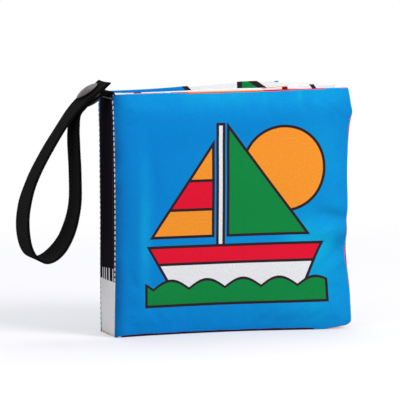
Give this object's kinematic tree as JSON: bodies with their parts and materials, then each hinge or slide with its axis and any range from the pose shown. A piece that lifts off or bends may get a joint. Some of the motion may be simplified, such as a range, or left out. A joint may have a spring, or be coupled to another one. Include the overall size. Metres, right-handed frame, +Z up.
{
  "type": "cloth crinkle book",
  "caption": "Soft square baby book of padded cloth leaves with crackling film inside, hinged covers, and a webbing strap that closes in a loop with a press stud.",
  "frame": {"origin": "middle of the closed book's foot, in the sole of the middle leaf", "axes": "+X from the spine to the fore-edge, +Y from the front cover to the back cover, +Z up along the spine"},
  "size_m": [0.1762, 0.0385, 0.1328],
  "materials": {
    "front_cover_cloth": "printed satin-weave polyester cloth",
    "back_cover_cloth": "printed satin-weave polyester cloth",
    "page_cloth": "printed satin-weave polyester cloth",
    "spine_cloth": "printed black polyester cloth",
    "webbing": "ribbed black webbing",
    "snap_plastic": "semi-gloss black acetal",
    "thread": "twisted polyester thread",
    "tack_thread": "twisted polyester thread",
    "crinkle_film": "thin crumpled film"
  },
  "bodies": {
    "book_block": {"spine": "spine_cloth", "pages": "page_cloth", "leaf_1_film": "crinkle_film", "leaf_2_film": "crinkle_film", "leaf_3_film": "crinkle_film", "strap": "webbing", "snap_cap_outer": "snap_plastic", "snap_socket": "snap_plastic", "snap_stud": "snap_plastic", "snap_cap_inner": "snap_plastic", "front_fold_stitches": "thread", "back_fold_stitches": "thread", "strap_tack": "tack_thread"},
    "front_cover": {"front_cover": "front_cover_cloth", "front_cover_film": "crinkle_film"},
    "back_cover": {"back_cover": "back_cover_cloth", "back_cover_film": "crinkle_film"}
  },
  "joints": [
    {"name": "front_cover_hinge", "type": "hinge", "parent": "book_block", "child": "front_cover", "pos_m": [-0.0635, -0.01475, 0.063], "axis": [0, 0, -1], "range_deg": [0, 178]},
    {"name": "back_cover_hinge", "type": "hinge", "parent": "book_block", "child": "back_cover", "pos_m": [-0.0635, 0.01475, 0.063], "axis": [0, 0, 1], "range_deg": [0, 178]}
  ]
}
